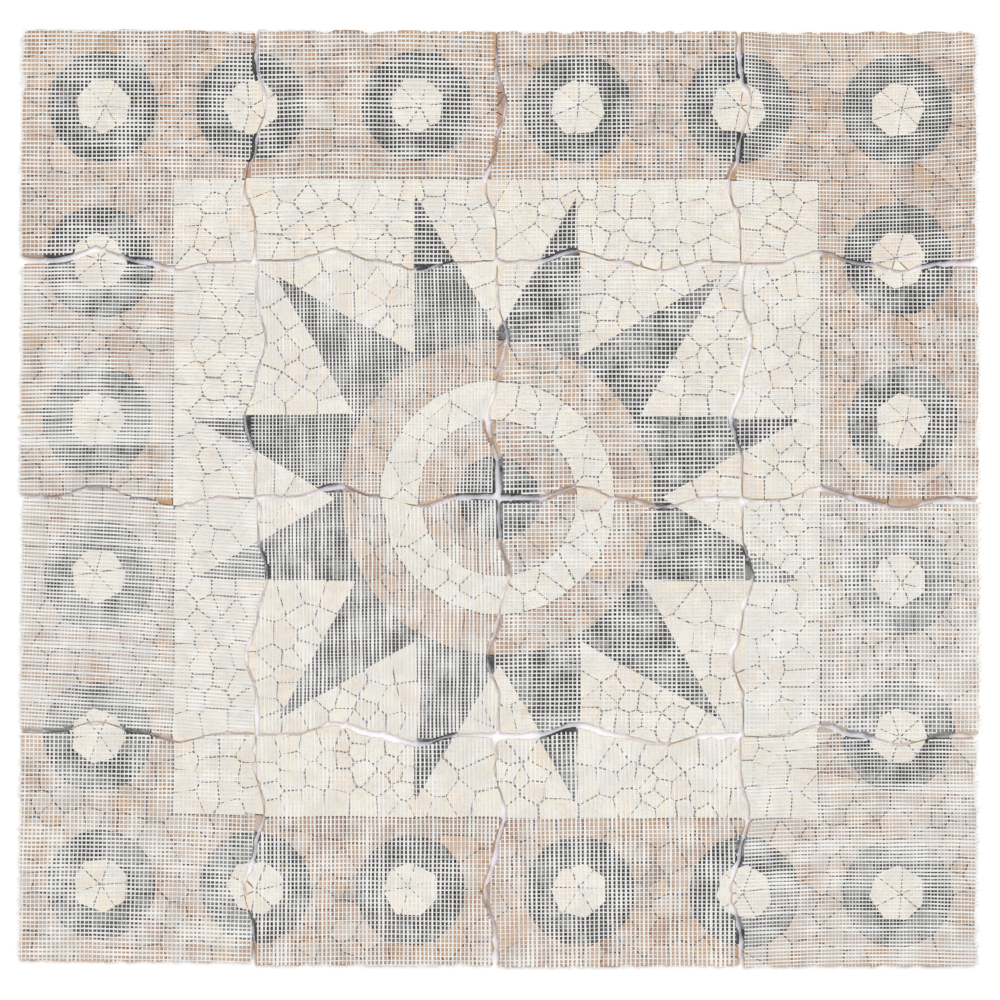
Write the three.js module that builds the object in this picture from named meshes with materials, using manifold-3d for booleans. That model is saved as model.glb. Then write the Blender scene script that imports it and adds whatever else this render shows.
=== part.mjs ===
// A square marble mosaic panel of sixteen mats, lying with its net side up.
// Each mat is a sheet of stone chips, face down, glued to a white mesh. Its inner edges are cut in
// S waves that lock into the next mat. Together the mats show a twelve-pointed dark star with a ringed
// medallion, in a cream field, inside a pink border with twenty roundels.
// Millimetres, +Z up. The pattern is laid out from the middle of the star.

import * as THREE from "three";
import { mergeVertices } from "three/addons/utils/BufferGeometryUtils.js";
import Module from "manifold-3d";

const wasm = await Module();
wasm.setup();

// The mats, and how much wider or higher than that each column and row was cut,
// with columns from left to right and rows from top to bottom
const matWidth = 297;
const matHeight = 290;
const columnExtras = [-5, 1, 6, -2];
const rowExtras = [-2, 2, 3, -3];
const seamWidth = 2.8;
const stoneThickness = 8;

// The net
const netThickness = 0.6;
const netClearance = 0.3;
const netInset = 1.5;

// How far each net reaches over the bulges of its seams: left, top, right and bottom
const netReaches = [
  [
    [0, 0, 3, 6],
    [6.5, 0, 2, 4],
    [8, 0, 3, 3],
    [6, 0, 0, 1.4],
  ],
  [
    [0, 8, 6, 3],
    [12, 12, 2, 8.5],
    [3, 11, 3, 9],
    [11, 10.5, 0, 0],
  ],
  [
    [0, 8, 9, 4],
    [8, 11, 10, 6],
    [6, 6, 3, 9],
    [3, 6, 0, 9],
  ],
  [
    [0, 11, 1, 0],
    [4, 5, 9.5, 0],
    [7.5, 8, 9, 0],
    [7.5, 12, 0, 0],
  ],
];

// The S wave of an inner edge: a bump to one side, then one to the other
const waveRiseAcross = 14;
const waveFallAcross = 11;
const waveRiseUpright = 12;
const waveFallUpright = 14;
const waveCentres = [0.325, 0.675];
const waveHalfLength = 0.175;
const waveSteps = 4;

// The medallion and star, from the middle outwards
const centreRadius = 52;
const centreSides = 8;
const discWidth = 45;
const creamRingWidth = 49;
const pinkRingWidth = 51;
const starBandWidth = 8;
const starPoints = 12;
const diagonalTipClearance = 17.6;

// The field, measured past the tips of the star
const fieldMarginAcross = 27.3;
const fieldMarginUpright = 21.3;

// The roundels, in the middle of the border
const roundelDiscRadius = 36;
const roundelRingWidth = 33;
const roundelSides = 12;
const roundelDiscSides = 6;
const roundelTouches = 2;
const roundelDiscTouches = 2;
const firstTouchAngle = 45;
const roundelInnerShare = 2 / 3;

// How far each roundel was set right of and above its even place, from the left or from below
const bottomRowShifts = [
  [8.0, 3.2],
  [6.4, 3.7],
  [-4.0, 1.9],
  [2.2, 2.2],
  [5.0, 0.3],
  [1.4, -0.8],
];
const topRowShifts = [
  [7.9, -3.8],
  [-1.9, -3.1],
  [1.8, -1.2],
  [-0.3, -3.7],
  [-2.0, -2.9],
  [2.3, -5.4],
];
const leftColumnShifts = [
  [2.2, -6.2],
  [2.0, -0.8],
  [2.5, -1.1],
  [4.1, -1.0],
];
const rightColumnShifts = [
  [2.2, -0.6],
  [1.0, -2.3],
  [6.4, -0.5],
  [2.2, 4.8],
];

// The joints between chips, and where two chips on either side of an open one touch
const jointWidth = 1.6;
const touchLength = 4;
const longestOpenJoint = 150;

// How each mat was laid down: shift right, shift up and turn in degrees
const lay = [
  [
    [-2.6, 2.5, -0.6],
    [-1.6, 1.9, -0.3],
    [-1.4, 1.0, 0.04],
    [-1.0, 0.0, 0.13],
  ],
  [
    [-3.2, -0.4, -0.56],
    [-1.4, 1.0, -0.03],
    [1.1, -0.4, 0.1],
    [1.6, -3.0, 0.01],
  ],
  [
    [-2.3, -0.4, -0.6],
    [1.5, -1.6, -0.06],
    [2.1, -2.4, 0.01],
    [2.0, -3.6, 0.2],
  ],
  [
    [-4.4, 0.6, -0.5],
    [-3.0, -4.0, -0.11],
    [-1.6, -5.6, 0.3],
    [-0.6, -5.8, 0.24],
  ],
];

const columnWidths = columnExtras.map((extra) => matWidth + extra);
const rowHeights = rowExtras.map((extra) => matHeight + extra);
const columns = columnWidths.length;
const rows = rowHeights.length;
const middleColumn = columns / 2;
const middleRow = rows / 2;
const quarterTurn = 90;
const cutterHeight = stoneThickness * 2;

// The cells that the mats fill, counted out from the middle seams
function cellEdges(sizes, middle) {
  const edges = [];
  let edge = seamWidth / 2;
  for (let i = middle; i < sizes.length; i++) {
    edges[i] = [edge, edge + sizes[i]];
    edge += sizes[i] + seamWidth;
  }
  edge = -seamWidth / 2;
  for (let i = middle - 1; i >= 0; i--) {
    edges[i] = [edge - sizes[i], edge];
    edge -= sizes[i] + seamWidth;
  }
  return edges;
}

const columnEdges = cellEdges(columnWidths, middleColumn);
const rowEdges = cellEdges(rowHeights, middleRow).map(([low, high]) => [-high, -low]);
const panelLeft = columnEdges[0][0];
const panelRight = columnEdges[columns - 1][1];
const panelTop = rowEdges[0][1];
const panelBottom = rowEdges[rows - 1][0];

// The diagonal rays end a little short of the smallest middle mat's far corner
const middleReach = Math.min(
  columnEdges[middleColumn][1],
  -columnEdges[middleColumn - 1][0],
  rowEdges[middleRow - 1][1],
  -rowEdges[middleRow][0],
);
const discRadius = centreRadius + discWidth;
const creamRingRadius = discRadius + creamRingWidth;
const medallionRadius = creamRingRadius + pinkRingWidth;
const starValleyRadius = medallionRadius + starBandWidth;
const starTipRadius = Math.SQRT2 * (middleReach - diagonalTipClearance);
const starReach = starTipRadius * Math.cos(Math.PI / starPoints);
const fieldHalfWidth = starReach + fieldMarginAcross;
const fieldHalfHeight = starReach + fieldMarginUpright;
const roundelRadius = roundelDiscRadius + roundelRingWidth;
const farAway = 2 * (panelRight - panelLeft);

const stone = (color) => new THREE.MeshStandardMaterial({ color, roughness: 0.75, metalness: 0 });
const lightStone = () => stone(0xd8c2ac);
const creamStone = () => stone(0xe2d8c6);
const pinkStone = () => stone(0xd2aa92);
const darkStone = () => stone(0x3f3f40);
const mesh = () =>
  new THREE.MeshStandardMaterial({
    color: 0xeeeeea,
    roughness: 0.9,
    metalness: 0,
    transparent: true,
    opacity: 0.5,
  });

// A closed geometry as a solid that can be joined and cut
function solidOf(geometry) {
  const bare = geometry.clone();
  bare.deleteAttribute("normal");
  bare.deleteAttribute("uv");
  const merged = mergeVertices(bare, 1e-4);
  return new wasm.Manifold(
    new wasm.Mesh({
      numProp: 3,
      vertProperties: merged.attributes.position.array,
      triVerts: new Uint32Array(merged.index.array),
    }),
  );
}

// A solid as a geometry, moved so that the point x, y is its origin
function geometryOf(solid, x, y) {
  const { vertProperties, triVerts, numProp, numVert } = solid.getMesh();
  const places = new Float32Array(numVert * 3);
  for (let i = 0; i < numVert; i++) {
    places.set(vertProperties.subarray(i * numProp, i * numProp + 3), i * 3);
  }
  const geometry = new THREE.BufferGeometry();
  geometry.setAttribute("position", new THREE.BufferAttribute(places, 3));
  geometry.setIndex(new THREE.BufferAttribute(triVerts, 1));
  geometry.computeVertexNormals();
  return geometry.translate(-x, -y, 0);
}

// An upright prism over a closed outline
function prism(points, bottom, top) {
  const shape = new THREE.Shape(points);
  const geometry = new THREE.ExtrudeGeometry(shape, { depth: top - bottom, bevelEnabled: false });
  return solidOf(geometry.translate(0, 0, bottom));
}

// A prism that runs through the whole panel, to cut with
const cutter = (points) => prism(points, -cutterHeight, cutterHeight);

const at = (radius, degrees) =>
  new THREE.Vector2(
    radius * Math.cos(THREE.MathUtils.degToRad(degrees)),
    radius * Math.sin(THREE.MathUtils.degToRad(degrees)),
  );

// A closed anticlockwise outline with every side moved inwards, or outwards for a negative distance
function inset(points, distance) {
  return points.map((corner, i) => {
    const before = points[(i + points.length - 1) % points.length];
    const after = points[(i + 1) % points.length];
    const arriving = corner.clone().sub(before).normalize();
    const leaving = after.clone().sub(corner).normalize();
    const normalIn = new THREE.Vector2(-arriving.y - leaving.y, arriving.x + leaving.x).normalize();
    const sideNormal = new THREE.Vector2(-arriving.y, arriving.x);
    return corner.clone().addScaledVector(normalIn, distance / normalIn.dot(sideNormal));
  });
}

function polygon(sides, radius, x = 0, y = 0, firstAngle = 0) {
  const points = [];
  for (let i = 0; i < sides; i++) {
    points.push(at(radius, firstAngle + (i * 360) / sides).add(new THREE.Vector2(x, y)));
  }
  return points;
}

function rectangle(left, bottom, right, top) {
  return [
    new THREE.Vector2(left, bottom),
    new THREE.Vector2(right, bottom),
    new THREE.Vector2(right, top),
    new THREE.Vector2(left, top),
  ];
}

// The star's outline: tips halfway between the upright, level and every other valley
function starOutline() {
  const step = 360 / starPoints;
  const points = [];
  for (let i = 0; i < starPoints; i++) {
    points.push(at(starValleyRadius, i * step));
    points.push(at(starTipRadius, (i + 0.5) * step));
  }
  return points;
}

// How far the S wave leaves the straight line, at a share of the side's length
function wave(share, rise, fall) {
  const bump = (centre) => {
    const away = Math.abs(share - centre) / waveHalfLength;
    return away < 1 ? (1 + Math.cos(Math.PI * away)) / 2 : 0;
  };
  return rise * bump(waveCentres[0]) - fall * bump(waveCentres[1]);
}

// The shares of a waved side at which it bends
function waveShares() {
  const shares = [0];
  for (const centre of waveCentres) {
    for (let i = 0; i <= waveSteps; i++) {
      shares.push(centre + waveHalfLength * ((2 * i) / waveSteps - 1));
    }
  }
  shares.push(1);
  return shares.filter((share, i) => i === 0 || share - shares[i - 1] > 1e-6);
}

// The outline of a mat's stone, with waves where another mat lies beside it
function matOutline(row, column) {
  const [left, right] = columnEdges[column];
  const [bottom, top] = rowEdges[row];
  const sharesOf = (waved) => (waved ? waveShares() : [0, 1]);
  const across = (level, waved) =>
    sharesOf(waved).map((share) => {
      const rise = waved ? wave(share, waveRiseAcross, waveFallAcross) : 0;
      return new THREE.Vector2(left + share * (right - left), level + rise);
    });
  const upright = (place, waved) =>
    sharesOf(waved).map((share) => {
      const rise = waved ? wave(share, waveRiseUpright, waveFallUpright) : 0;
      return new THREE.Vector2(place + rise, top - share * (top - bottom));
    });
  const sides = [
    across(bottom, row < rows - 1),
    upright(right, column < columns - 1).reverse(),
    across(top, row > 0).reverse(),
    upright(left, column > 0),
  ];
  return sides.flatMap((side) => side.slice(0, -1));
}

// One open stretch of a joint along the points of a line
function openJoint(line) {
  const half = jointWidth / 2;
  const sideways = line.map((point, i) => {
    const before = line[Math.max(i - 1, 0)];
    const after = line[Math.min(i + 1, line.length - 1)];
    return new THREE.Vector2(before.y - after.y, after.x - before.x).setLength(half);
  });
  const rightBank = line.map((point, i) => point.clone().sub(sideways[i]));
  const leftBank = line.map((point, i) => point.clone().add(sideways[i]));
  return cutter([...rightBank, ...leftBank.reverse()]);
}

// The same stretch with its ends drawn back, so that the chips beyond them touch
function shortened(line) {
  const drawBack = (from, to) => from.clone().lerp(to, touchLength / 2 / from.distanceTo(to));
  const last = line.length - 1;
  return [drawBack(line[0], line[1]), ...line.slice(1, last), drawBack(line[last], line[last - 1])];
}

// The open joints of a many-sided ring, touching at as many evenly spaced corners as there are arcs
function ringJoints(sides, radius, arcs, x, y, firstAngle) {
  const points = polygon(sides, radius, x, y, firstAngle);
  const sidesEach = sides / arcs;
  const joints = [];
  for (let arc = 0; arc < arcs; arc++) {
    const line = [];
    for (let i = 0; i <= sidesEach; i++) line.push(points[(arc * sidesEach + i) % sides]);
    joints.push(openJoint(shortened(line)));
  }
  return joints;
}

// The open joints of a straight line, in stretches no longer than the longest
function straightJoints(from, to) {
  const stretches = Math.ceil(from.distanceTo(to) / longestOpenJoint);
  const joints = [];
  for (let i = 0; i < stretches; i++) {
    const start = from.clone().lerp(to, i / stretches);
    const end = from.clone().lerp(to, (i + 1) / stretches);
    joints.push(openJoint(shortened([start, end])));
  }
  return joints;
}

// The middles of the roundels: six along the top and bottom, four more down each side.
// Every other one lies on a seam between two mats.
function roundelCentres() {
  const midOf = ([low, high]) => (low + high) / 2;
  const outerX = midOf([fieldHalfWidth, (panelRight - panelLeft) / 2]);
  const outerY = midOf([fieldHalfHeight, (panelTop - panelBottom) / 2]);
  const seamX = (columnEdges[middleColumn][1] + columnEdges[middleColumn + 1][0]) / 2;
  const seamY = (rowEdges[middleRow - 1][1] + rowEdges[middleRow - 2][0]) / 2;
  const innerX = midOf(columnEdges[middleColumn]) * roundelInnerShare;
  const innerY = midOf(rowEdges[middleRow - 1]) * roundelInnerShare;
  const alongRow = [-outerX, -seamX, -innerX, innerX, seamX, outerX];
  const alongColumn = [-seamY, -innerY, innerY, seamY];
  const inRow = (y, shifts) => alongRow.map((x, i) => [x + shifts[i][0], y + shifts[i][1]]);
  const inColumn = (x, shifts) => alongColumn.map((y, i) => [x + shifts[i][0], y + shifts[i][1]]);
  return [
    ...inRow(-outerY, bottomRowShifts),
    ...inRow(outerY, topRowShifts),
    ...inColumn(-outerX, leftColumnShifts),
    ...inColumn(outerX, rightColumnShifts),
  ];
}

const starIn = cutter(inset(starOutline(), jointWidth / 2));
const starOut = cutter(inset(starOutline(), -jointWidth / 2));
const medallionSides = starPoints * 3;
const medallionIn = cutter(polygon(medallionSides, medallionRadius - jointWidth / 2));
const medallionOut = cutter(polygon(medallionSides, medallionRadius + jointWidth / 2));
const centreTurn = 180 / centreSides;
const centreIn = cutter(polygon(centreSides, centreRadius - jointWidth / 2, 0, 0, centreTurn));
const centreOut = cutter(polygon(centreSides, centreRadius + jointWidth / 2, 0, 0, centreTurn));

const fieldCorners = rectangle(-fieldHalfWidth, -fieldHalfHeight, fieldHalfWidth, fieldHalfHeight);
const nextCorner = (i) => fieldCorners[(i + 1) % fieldCorners.length];
const fieldJoints = fieldCorners.flatMap((corner, i) => straightJoints(corner, nextCorner(i)));
const roundelJoints = roundelCentres().flatMap(([x, y]) => [
  ...ringJoints(roundelSides, roundelRadius, roundelTouches, x, y, firstTouchAngle),
  ...ringJoints(roundelDiscSides, roundelDiscRadius, roundelDiscTouches, x, y, firstTouchAngle),
]);
const medallionJoints = [discRadius, creamRingRadius].flatMap((radius) =>
  ringJoints(medallionSides, radius, starPoints, 0, 0, 180 / starPoints),
);

const cutAll = (solid, cutters) => cutters.reduce((left, joint) => left.subtract(joint), solid);

// The part of the plane between two directions from the middle of the star
const sector = (from, to) =>
  cutter([new THREE.Vector2(0, 0), at(farAway, from), at(farAway, (from + to) / 2), at(farAway, to)]);

// The stone pieces of a mat of the outer ring: border and field, and a tip of the star where it reaches
function outerStones(stones) {
  const tip = stones.intersect(starIn);
  const border = cutAll(stones.subtract(starOut), [...fieldJoints, ...roundelJoints]);
  const pieces = [["border_stones", border, lightStone()]];
  if (!tip.isEmpty()) pieces.push(["star_tip_stones", tip, darkStone()]);
  return pieces;
}

// The stone pieces of a middle mat: a quarter of the star and medallion, and the field between the rays
function middleStones(stones, firstAngle) {
  const half = 180 / starPoints;
  const field = stones.subtract(starOut);
  const between = (from, to) => field.intersect(sector(firstAngle + from, firstAngle + to));
  const medallion = stones.intersect(medallionIn).subtract(centreOut);
  return [
    ["field_corner_stones", between(half, quarterTurn - half), creamStone()],
    ["field_first_wedge_stones", between(-half, half), creamStone()],
    ["field_second_wedge_stones", between(quarterTurn - half, quarterTurn + half), creamStone()],
    ["star_stones", stones.intersect(starIn).subtract(medallionOut), darkStone()],
    ["medallion_stones", cutAll(medallion, medallionJoints), pinkStone()],
    ["centre_stones", stones.intersect(centreIn), darkStone()],
  ];
}

// The net of a mat: a straight-sided sheet, trimmed back where the stone's edge curves in
function netSheet(outline, row, column) {
  const bottom = stoneThickness + netClearance;
  const [left, right] = columnEdges[column];
  const [low, high] = rowEdges[row];
  const [leftReach, topReach, rightReach, lowReach] = netReaches[row][column];
  const straight = rectangle(left - leftReach, low - lowReach, right + rightReach, high + topReach);
  return prism(inset(outline, netInset), bottom, bottom + netThickness).intersect(cutter(straight));
}

// One mat: all its pieces, built in the pattern's place and then laid down as found
function mat(row, column) {
  const outline = matOutline(row, column);
  const stones = prism(outline, 0, stoneThickness);
  const x = (columnEdges[column][0] + columnEdges[column][1]) / 2;
  const y = (rowEdges[row][0] + rowEdges[row][1]) / 2;
  const middleOf = (index, count) => index > 0 && index < count - 1;
  const inMiddle = middleOf(row, rows) && middleOf(column, columns);
  const firstAngle = quarterTurn * Math.floor(THREE.MathUtils.radToDeg(Math.atan2(y, x)) / quarterTurn);
  const pieces = inMiddle ? middleStones(stones, firstAngle) : outerStones(stones);
  pieces.push(["net", netSheet(outline, row, column), mesh()]);

  const group = new THREE.Group();
  const [shiftRight, shiftUp, turn] = lay[row][column];
  group.position.set(x + shiftRight, y + shiftUp, 0);
  group.rotation.z = THREE.MathUtils.degToRad(turn);
  for (const [kind, solid, material] of pieces) {
    const piece = new THREE.Mesh(geometryOf(solid, x, y), material);
    piece.name = `${kind}_r${row + 1}c${column + 1}`;
    group.add(piece);
  }
  return group;
}

const mats = new THREE.Group();
for (let row = 0; row < rows; row++) {
  for (let column = 0; column < columns; column++) mats.add(mat(row, column));
}

// The panel's own origin is at the middle of its underside
const box = new THREE.Box3().setFromObject(mats);
mats.position.set(-(box.min.x + box.max.x) / 2, -(box.min.y + box.max.y) / 2, 0);

const panel = new THREE.Group();
panel.add(mats);

export default panel;
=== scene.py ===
import math
import random

import bmesh
import bpy
import numpy as np
from mathutils import Matrix, Vector, noise
from mathutils.geometry import delaunay_2d_cdt, intersect_line_line_2d


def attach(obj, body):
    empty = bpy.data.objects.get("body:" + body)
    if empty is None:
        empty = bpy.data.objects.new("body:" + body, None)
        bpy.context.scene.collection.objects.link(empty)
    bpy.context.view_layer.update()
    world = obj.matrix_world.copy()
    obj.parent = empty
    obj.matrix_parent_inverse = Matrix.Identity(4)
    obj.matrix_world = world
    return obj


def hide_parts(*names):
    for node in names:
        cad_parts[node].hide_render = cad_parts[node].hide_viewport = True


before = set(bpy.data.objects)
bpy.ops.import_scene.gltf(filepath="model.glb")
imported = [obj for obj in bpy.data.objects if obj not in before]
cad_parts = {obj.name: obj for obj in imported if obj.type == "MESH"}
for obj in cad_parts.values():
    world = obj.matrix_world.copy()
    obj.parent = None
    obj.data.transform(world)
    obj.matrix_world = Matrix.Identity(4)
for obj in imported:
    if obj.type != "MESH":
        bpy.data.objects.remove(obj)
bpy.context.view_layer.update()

# The stone chips of all sixteen mats. Each is a piece of marble slab, cut with straight sides and laid
# face down close to its neighbours, and a net is glued over the sawn backs: about a hundred make a mat.
# The pattern runs over all the mats, and each mat's rim is cut in the waves that lock it to the next.

# Mats in rows from the top and columns from the left, seen from the net side, in metres
MAT_WIDTHS = (0.292, 0.298, 0.303, 0.295)
MAT_HEIGHTS = (0.288, 0.292, 0.293, 0.287)
ROWS = range(len(MAT_HEIGHTS))
COLUMNS = range(len(MAT_WIDTHS))
SEAM = 0.0028
STONE_THICKNESS = 0.008

# Where the pattern's middle lies, from the middle of the panel as it was laid out
PATTERN_MIDDLE = Vector((-0.002451, 0.001227, 0.0))

# How each mat was laid down: shift right and up in millimetres, turn in degrees
MAT_LAY = (
    ((-2.6, 2.5, -0.60), (-1.6, 1.9, -0.30), (-1.4, 1.0, 0.04), (-1.0, 0.0, 0.13)),
    ((-3.2, -0.4, -0.56), (-1.4, 1.0, -0.03), (1.1, -0.4, 0.10), (1.6, -3.0, 0.01)),
    ((-2.3, -0.4, -0.60), (1.5, -1.6, -0.06), (2.1, -2.4, 0.01), (2.0, -3.6, 0.20)),
    ((-4.4, 0.6, -0.50), (-3.0, -4.0, -0.11), (-1.6, -5.6, 0.30), (-0.6, -5.8, 0.24)),
)

LEFTS = (
    -1.5 * SEAM - MAT_WIDTHS[0] - MAT_WIDTHS[1],
    -0.5 * SEAM - MAT_WIDTHS[1],
    0.5 * SEAM,
    1.5 * SEAM + MAT_WIDTHS[2],
)
TOPS = (
    1.5 * SEAM + MAT_HEIGHTS[0] + MAT_HEIGHTS[1],
    0.5 * SEAM + MAT_HEIGHTS[1],
    -0.5 * SEAM,
    -1.5 * SEAM - MAT_HEIGHTS[2],
)

# The wave of a mat's inner sides: two bumps, at shares of the side's length
WAVE_CENTRES = (0.325, 0.675)
WAVE_HALF_LENGTH = 0.175
WAVE_ACROSS = (0.014, 0.011)
WAVE_UPRIGHT = (0.012, 0.014)
RIM_STEPS = 28

# The deepest notches in a rim, inside the panel and round it. The power keeps most of them small.
SEAM_ROUGHNESS = 0.0042
RIM_ROUGHNESS = 0.0045
ROUGHNESS_POWER = 4

# The rim is set out this far past the line that is wanted, as each chip is then drawn back by its joint.
# To open a seam it is drawn back by no more than the second number.
RIM_ALLOWANCE = 0.0004
MOST_DRAWN_BACK = 0.0005

# How open the upright seams lie, in millimetres: by row, then by seam from the left, and at six places
# from the top
UPRIGHT_SEAMS = (
    ((1.8, 1.6, 2.0, 1.0, 1.0, 1.4), (1.1, 1.1, 1.0, 1.6, 1.6, 1.5), (3.2, 2.8, 1.0, 1.0, 0.9, 1.2)),
    ((1.4, 1.7, 0.9, 0.9, 1.5, 2.0), (1.4, 1.0, 0.9, 2.2, 2.5, 5.2), (2.6, 1.2, 3.4, 4.2, 3.0, 1.3)),
    ((1.8, 1.2, 0.9, 1.6, 1.8, 4.2), (2.6, 0.9, 0.9, 1.2, 1.5, 0.9), (1.1, 2.4, 1.2, 2.4, 2.0, 1.2)),
    ((0.9, 0.9, 1.6, 0.9, 0.9, 1.0), (1.0, 1.0, 3.5, 2.8, 3.2, 3.8), (4.0, 2.0, 2.4, 4.0, 3.2, 3.2)),
)

# The same for the level seams: by seam from the top, then columns, at six places from the left
LEVEL_SEAMS = (
    ((6.4, 4.0, 3.4, 3.7, 1.8, 1.6), (1.6, 1.5, 1.7, 1.5, 0.9, 0.9), (2.2, 4.4, 1.0, 1.6, 1.3, 1.0),
     (2.1, 2.1, 3.3, 2.6, 3.2, 5.4)),
    ((0.9, 1.4, 1.3, 0.9, 1.8, 1.3), (1.8, 1.7, 1.4, 1.0, 2.4, 4.9), (5.0, 1.3, 1.6, 1.5, 1.1, 2.8),
     (0.9, 1.2, 3.6, 2.7, 2.1, 1.5)),
    ((1.2, 0.9, 1.2, 0.9, 0.9, 1.0), (1.8, 3.0, 6.4, 6.2, 2.8, 4.6), (5.8, 6.0, 5.2, 2.8, 1.5, 4.8),
     (1.3, 1.1, 4.4, 2.8, 1.6, 4.4)),
)


def cell(row, column):
    """The left, bottom, right and top of the straight cell that a mat fills in the pattern."""
    left, top = LEFTS[column], TOPS[row]
    return left, top - MAT_HEIGHTS[row], left + MAT_WIDTHS[column], top


def meets(row, column, side):
    """Whether another mat lies beside this side."""
    return {
        "left": column > COLUMNS[0],
        "right": column < COLUMNS[-1],
        "top": row > ROWS[0],
        "bottom": row < ROWS[-1],
    }[side]


def wave(row, column, side, share):
    """How far a side wanders in +X or +Y, at a share of its length from the left or from the top."""
    if not meets(row, column, side):
        return 0.0
    heights = WAVE_ACROSS if side in ("top", "bottom") else WAVE_UPRIGHT
    bumps = []
    for centre in WAVE_CENTRES:
        away = abs(share - centre) / WAVE_HALF_LENGTH
        bumps.append((1 + math.cos(math.pi * away)) / 2 if away < 1 else 0.0)
    return heights[0] * bumps[0] - heights[1] * bumps[1]


def lay_of(row, column):
    """The move that takes a mat from its place in the pattern to where it was laid down."""
    left, bottom, right, top = cell(row, column)
    middle = Vector(((left + right) / 2, (bottom + top) / 2, 0))
    right_shift, up_shift, turn = MAT_LAY[row][column]
    rotation = Matrix.Rotation(math.radians(turn), 4, "Z")
    turned = Matrix.Translation(middle) @ rotation @ Matrix.Translation(-middle)
    shift = Vector((right_shift / 1000, up_shift / 1000, 0))
    return Matrix.Translation(PATTERN_MIDDLE + shift) @ turned


OUTWARD = {
    "left": Vector((-1, 0, 0)),
    "right": Vector((1, 0, 0)),
    "top": Vector((0, 1, 0)),
    "bottom": Vector((0, -1, 0)),
}


def rim_spot(row, column, side, share):
    """A spot of a mat's even rim, at a share of the side's length from the left or from the top."""
    left, bottom, right, top = cell(row, column)
    off = wave(row, column, side, share)
    if side in ("left", "right"):
        return Vector(((left if side == "left" else right) + off, top - share * (top - bottom), 0))
    return Vector((left + share * (right - left), (bottom if side == "bottom" else top) + off, 0))


def spread_along(row, column, side):
    """How far chips reach past the even rim at each step along a side, for the seam to open as it does."""
    if not meets(row, column, side):
        return [RIM_ALLOWANCE] * (RIM_STEPS + 1)
    facing = {
        "left": (row, column - 1, "right"),
        "right": (row, column + 1, "left"),
        "top": (row - 1, column, "bottom"),
        "bottom": (row + 1, column, "top"),
    }[side]
    seam_row, seam_column = min(row, facing[0]), min(column, facing[1])
    seams = UPRIGHT_SEAMS if side in ("left", "right") else LEVEL_SEAMS
    openings = seams[seam_row][seam_column]
    places = [(i + 0.5) / len(openings) for i in range(len(openings))]
    lay, facing_lay = lay_of(row, column), lay_of(*facing[:2])
    spreads = []
    for i in range(RIM_STEPS + 1):
        share = i / RIM_STEPS
        across = facing_lay @ rim_spot(*facing, share) - lay @ rim_spot(row, column, side, share)
        gap = across.dot(OUTWARD[side])
        opening = float(np.interp(share, places, openings)) / 1000
        spreads.append(max((gap - opening) / 2, -MOST_DRAWN_BACK) + RIM_ALLOWANCE)
    return spreads


SIDES = ("left", "top", "right", "bottom")
spreads = {(r, c, side): spread_along(r, c, side) for r in ROWS for c in COLUMNS for side in SIDES}


def spread(row, column, side, share):
    """The same at any share of a side's length."""
    along = spreads[row, column, side]
    place = min(max(share, 0.0), 1.0) * RIM_STEPS
    step = min(int(place), RIM_STEPS - 1)
    return along[step] + (along[step + 1] - along[step]) * (place - step)


def mat_outline(row, column, rng):
    """A mat's rim as its chips make it, anticlockwise."""

    def out(side, share):
        roughness = SEAM_ROUGHNESS if meets(row, column, side) else RIM_ROUGHNESS
        notch = roughness * rng.random() ** ROUGHNESS_POWER
        return OUTWARD[side] * (spread(row, column, side, share) - notch)

    points = []
    for side, first, side_before, last in (
        ("bottom", 0, "left", 1),
        ("right", 1, "bottom", 1),
        ("top", 1, "right", 0),
        ("left", 0, "top", 0),
    ):
        for i in range(RIM_STEPS):
            share = abs(first - i / RIM_STEPS)
            spot = rim_spot(row, column, side, share) + out(side, share)
            if i == 0:
                spot += out(side_before, last)
            points.append((spot.x, spot.y))
    return points


# The pattern: a border with roundels, a field, a twelve-pointed star and the rings at its middle
STAR_POINTS = 12
STAR_TIP_RADIUS = 0.390
STAR_VALLEY_RADIUS = 0.205
RAY_SIDE_CUTS = 8
RING_RADII = (("pink", 0.197, 48), ("cream", 0.146, 36), ("pink", 0.097, 24), ("black", 0.052, 10))
FIELD_HALF = (0.40405, 0.39805)
FIELD_SIDE_CUTS = 30
ROUNDEL_RADIUS = 0.069
ROUNDEL_SIDES = 16
DISC_RADIUS = 0.036
DISC_SIDES = 7
ROUNDEL_ACROSS = (-0.5011, -0.3058, -0.1019, 0.1019, 0.3058, 0.5011)
ROUNDEL_UPRIGHT = (-0.4911, -0.2948, -0.0983, 0.0983, 0.2948, 0.4911)

# How far each roundel was set right of and above its even place, from the left or from below
BOTTOM_ROW_SHIFTS = (
    (0.0080, 0.0032), (0.0064, 0.0037), (-0.0040, 0.0019),
    (0.0022, 0.0022), (0.0050, 0.0003), (0.0014, -0.0008),
)
TOP_ROW_SHIFTS = (
    (0.0079, -0.0038), (-0.0019, -0.0031), (0.0018, -0.0012),
    (-0.0003, -0.0037), (-0.0020, -0.0029), (0.0023, -0.0054),
)
LEFT_COLUMN_SHIFTS = ((0.0022, -0.0062), (0.0020, -0.0008), (0.0025, -0.0011), (0.0041, -0.0010))
RIGHT_COLUMN_SHIFTS = ((0.0022, -0.0006), (0.0010, -0.0023), (0.0064, -0.0005), (0.0022, 0.0048))
HAND_ROUGHNESS = 0.0009
UNEVEN_SIDES = 0.12


def at(radius, degrees):
    return radius * math.cos(math.radians(degrees)), radius * math.sin(math.radians(degrees))


def by_eye(rng):
    return rng.uniform(-1, 1) * HAND_ROUGHNESS


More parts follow.
